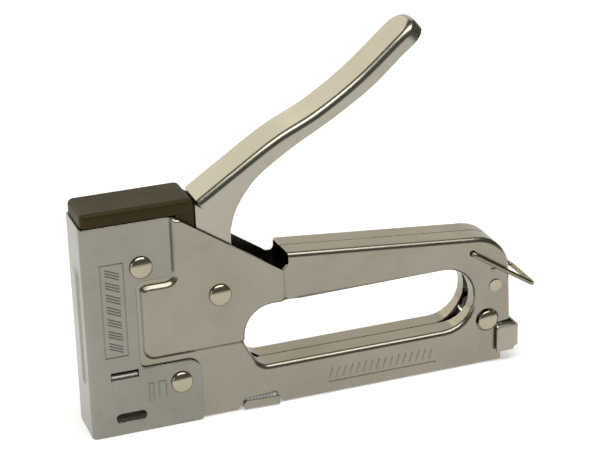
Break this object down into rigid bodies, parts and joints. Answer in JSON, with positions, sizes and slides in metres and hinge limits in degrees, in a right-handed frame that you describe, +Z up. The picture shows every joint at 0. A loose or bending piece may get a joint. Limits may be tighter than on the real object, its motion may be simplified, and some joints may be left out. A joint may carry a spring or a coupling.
{
  "type": "staple gun",
  "caption": "Hand-operated staple gun: pressed steel half shells with a finger loop, bright wrap-around nose, black cap, long channel lever and a wire latch.",
  "frame": {"origin": "middle of the bottom edge of the nose's front wall, on the tool's centre plane, where the staple leaves", "axes": "+X from the nose towards the rear, along the tool; +Z up, opposite to the staple's travel; +Y across, towards the right-hand half shell"},
  "size_m": [0.1768, 0.0254, 0.1418],
  "materials": {
    "shell_steel": "satin nickel-plated pressed steel",
    "nose_chrome": "bright nickel-chrome plate",
    "lever_steel": "satin nickel-plated pressed steel, warm",
    "cap_plastic": "black moulded plastic, semi-gloss",
    "rivet_steel": "plated rivet heads, warm grey",
    "inner_steel": "plain dark steel",
    "spring_steel": "drawn spring wire",
    "blade_steel": "ground hardened steel",
    "staple_wire": "bright galvanised wire",
    "bumper_rubber": "black rubber"
  },
  "bodies": {
    "frame": {"left_side_shell": "shell_steel", "right_side_shell": "shell_steel", "nose_shell": "nose_chrome", "top_cap": "cap_plastic", "nose_rivet_upper_left": "rivet_steel", "nose_rivet_upper_right": "rivet_steel", "nose_rivet_lower": "rivet_steel", "lever_pivot_pin": "rivet_steel", "rear_rivet": "shell_steel", "catch_pin": "rivet_steel", "rear_spacer": "inner_steel", "catch_bush": "inner_steel", "lever_return_spring": "spring_steel", "power_spring": "spring_steel", "spring_seat": "inner_steel", "driver_guide": "inner_steel", "bumper_bracket": "inner_steel", "bumper": "bumper_rubber", "magazine_rail": "shell_steel", "staple_strip": "staple_wire", "pusher_spring": "spring_steel"},
    "lever": {"lever_handle": "lever_steel", "lifting_arm": "inner_steel", "pivot_bush": "inner_steel", "arm_rivet_front": "lever_steel", "arm_rivet_rear": "lever_steel"},
    "hammer": {"hammer_block": "inner_steel", "driver_blade": "blade_steel"},
    "follower": {"rear_clip": "shell_steel", "guide_rod": "spring_steel"},
    "pusher": {"pusher": "inner_steel"},
    "bail": {"wire_bail": "spring_steel"}
  },
  "joints": [
    {"name": "lever_hinge", "type": "hinge", "parent": "frame", "child": "lever", "pos_m": [0.0495, 0, 0.0494], "axis": [0, 1, 0], "range_deg": [0, 44], "stiffness_Nm_per_rad": 0.12, "springref_deg": -40.11, "deforming": ["lever_return_spring"]},
    {"name": "hammer_slide", "type": "slide", "parent": "frame", "child": "hammer", "axis": [0, 0, 1], "range_m": [0, 0.018], "deforming": ["power_spring"]},
    {"name": "bail_hinge", "type": "hinge", "parent": "frame", "child": "bail", "pos_m": [0.15, 0, 0.0471], "axis": [0, -1, 0], "range_deg": [0, 150]},
    {"name": "follower_slide", "type": "slide", "parent": "frame", "child": "follower", "axis": [1, 0, 0], "range_m": [0, 0.1], "deforming": ["pusher_spring"]},
    {"name": "pusher_slide", "type": "slide", "parent": "follower", "child": "pusher", "axis": [1, 0, 0], "range_m": [0, 0.04], "stiffness_N_per_m": 20, "springref_m": -0.03, "deforming": ["pusher_spring"]}
  ],
  "couplings": [
    {"joint": "hammer_slide", "follows": "lever_hinge", "m_per_rad": 0.023435}
  ]
}
